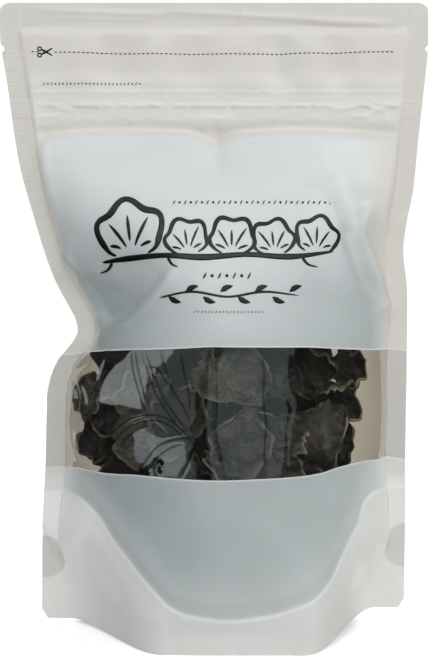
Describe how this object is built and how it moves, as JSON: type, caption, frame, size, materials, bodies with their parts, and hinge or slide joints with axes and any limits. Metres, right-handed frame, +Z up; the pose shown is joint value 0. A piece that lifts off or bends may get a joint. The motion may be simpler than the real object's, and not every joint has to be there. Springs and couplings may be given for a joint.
{
  "type": "stand-up pouch of dried wood ear mushrooms",
  "caption": "Stand-up zip pouch of white printed film with a clear window band, bottom gusset and tear notches, filled with curled dried wood ear mushrooms.",
  "frame": {"origin": "on the surface that the pouch stands on, under the middle of its box", "axes": "+Z up to the top seal, +X to the right along the pouch's width, -Y out of the front with the window"},
  "size_m": [0.1678, 0.0804, 0.246],
  "materials": {
    "printed_film": "satin white laminate with a clear band over the window",
    "gusset_film": "satin white laminate",
    "zip_strip": "translucent white polyethylene",
    "wood_ear": "dry, dull, near black on one face and grey-brown on the other"
  },
  "bodies": {
    "root": {"film_front": "printed_film", "film_back": "printed_film", "film_gusset": "gusset_film", "zip_channel": "zip_strip", "zip_rib": "zip_strip", "wood_ear_01": "wood_ear", "wood_ear_02": "wood_ear", "wood_ear_03": "wood_ear", "wood_ear_04": "wood_ear", "wood_ear_05": "wood_ear", "wood_ear_06": "wood_ear", "wood_ear_07": "wood_ear", "wood_ear_08": "wood_ear", "wood_ear_09": "wood_ear", "wood_ear_10": "wood_ear", "wood_ear_11": "wood_ear", "wood_ear_12": "wood_ear", "wood_ear_13": "wood_ear", "wood_ear_14": "wood_ear", "wood_ear_15": "wood_ear", "wood_ear_16": "wood_ear", "wood_ear_17": "wood_ear", "wood_ear_18": "wood_ear", "wood_ear_19": "wood_ear", "wood_ear_20": "wood_ear", "wood_ear_21": "wood_ear", "wood_ear_22": "wood_ear", "wood_ear_23": "wood_ear", "wood_ear_24": "wood_ear", "wood_ear_25": "wood_ear", "wood_ear_26": "wood_ear", "wood_ear_27": "wood_ear", "wood_ear_28": "wood_ear", "wood_ear_29": "wood_ear", "wood_ear_30": "wood_ear", "wood_ear_31": "wood_ear", "wood_ear_32": "wood_ear", "wood_ear_33": "wood_ear", "wood_ear_34": "wood_ear", "wood_ear_35": "wood_ear", "wood_ear_36": "wood_ear", "wood_ear_37": "wood_ear", "wood_ear_38": "wood_ear", "wood_ear_39": "wood_ear", "wood_ear_40": "wood_ear", "wood_ear_41": "wood_ear", "wood_ear_42": "wood_ear", "wood_ear_43": "wood_ear", "wood_ear_44": "wood_ear", "wood_ear_45": "wood_ear", "wood_ear_46": "wood_ear", "wood_ear_47": "wood_ear", "wood_ear_48": "wood_ear", "wood_ear_49": "wood_ear", "wood_ear_50": "wood_ear", "wood_ear_51": "wood_ear", "wood_ear_52": "wood_ear", "wood_ear_53": "wood_ear"}
  },
  "joints": []
}
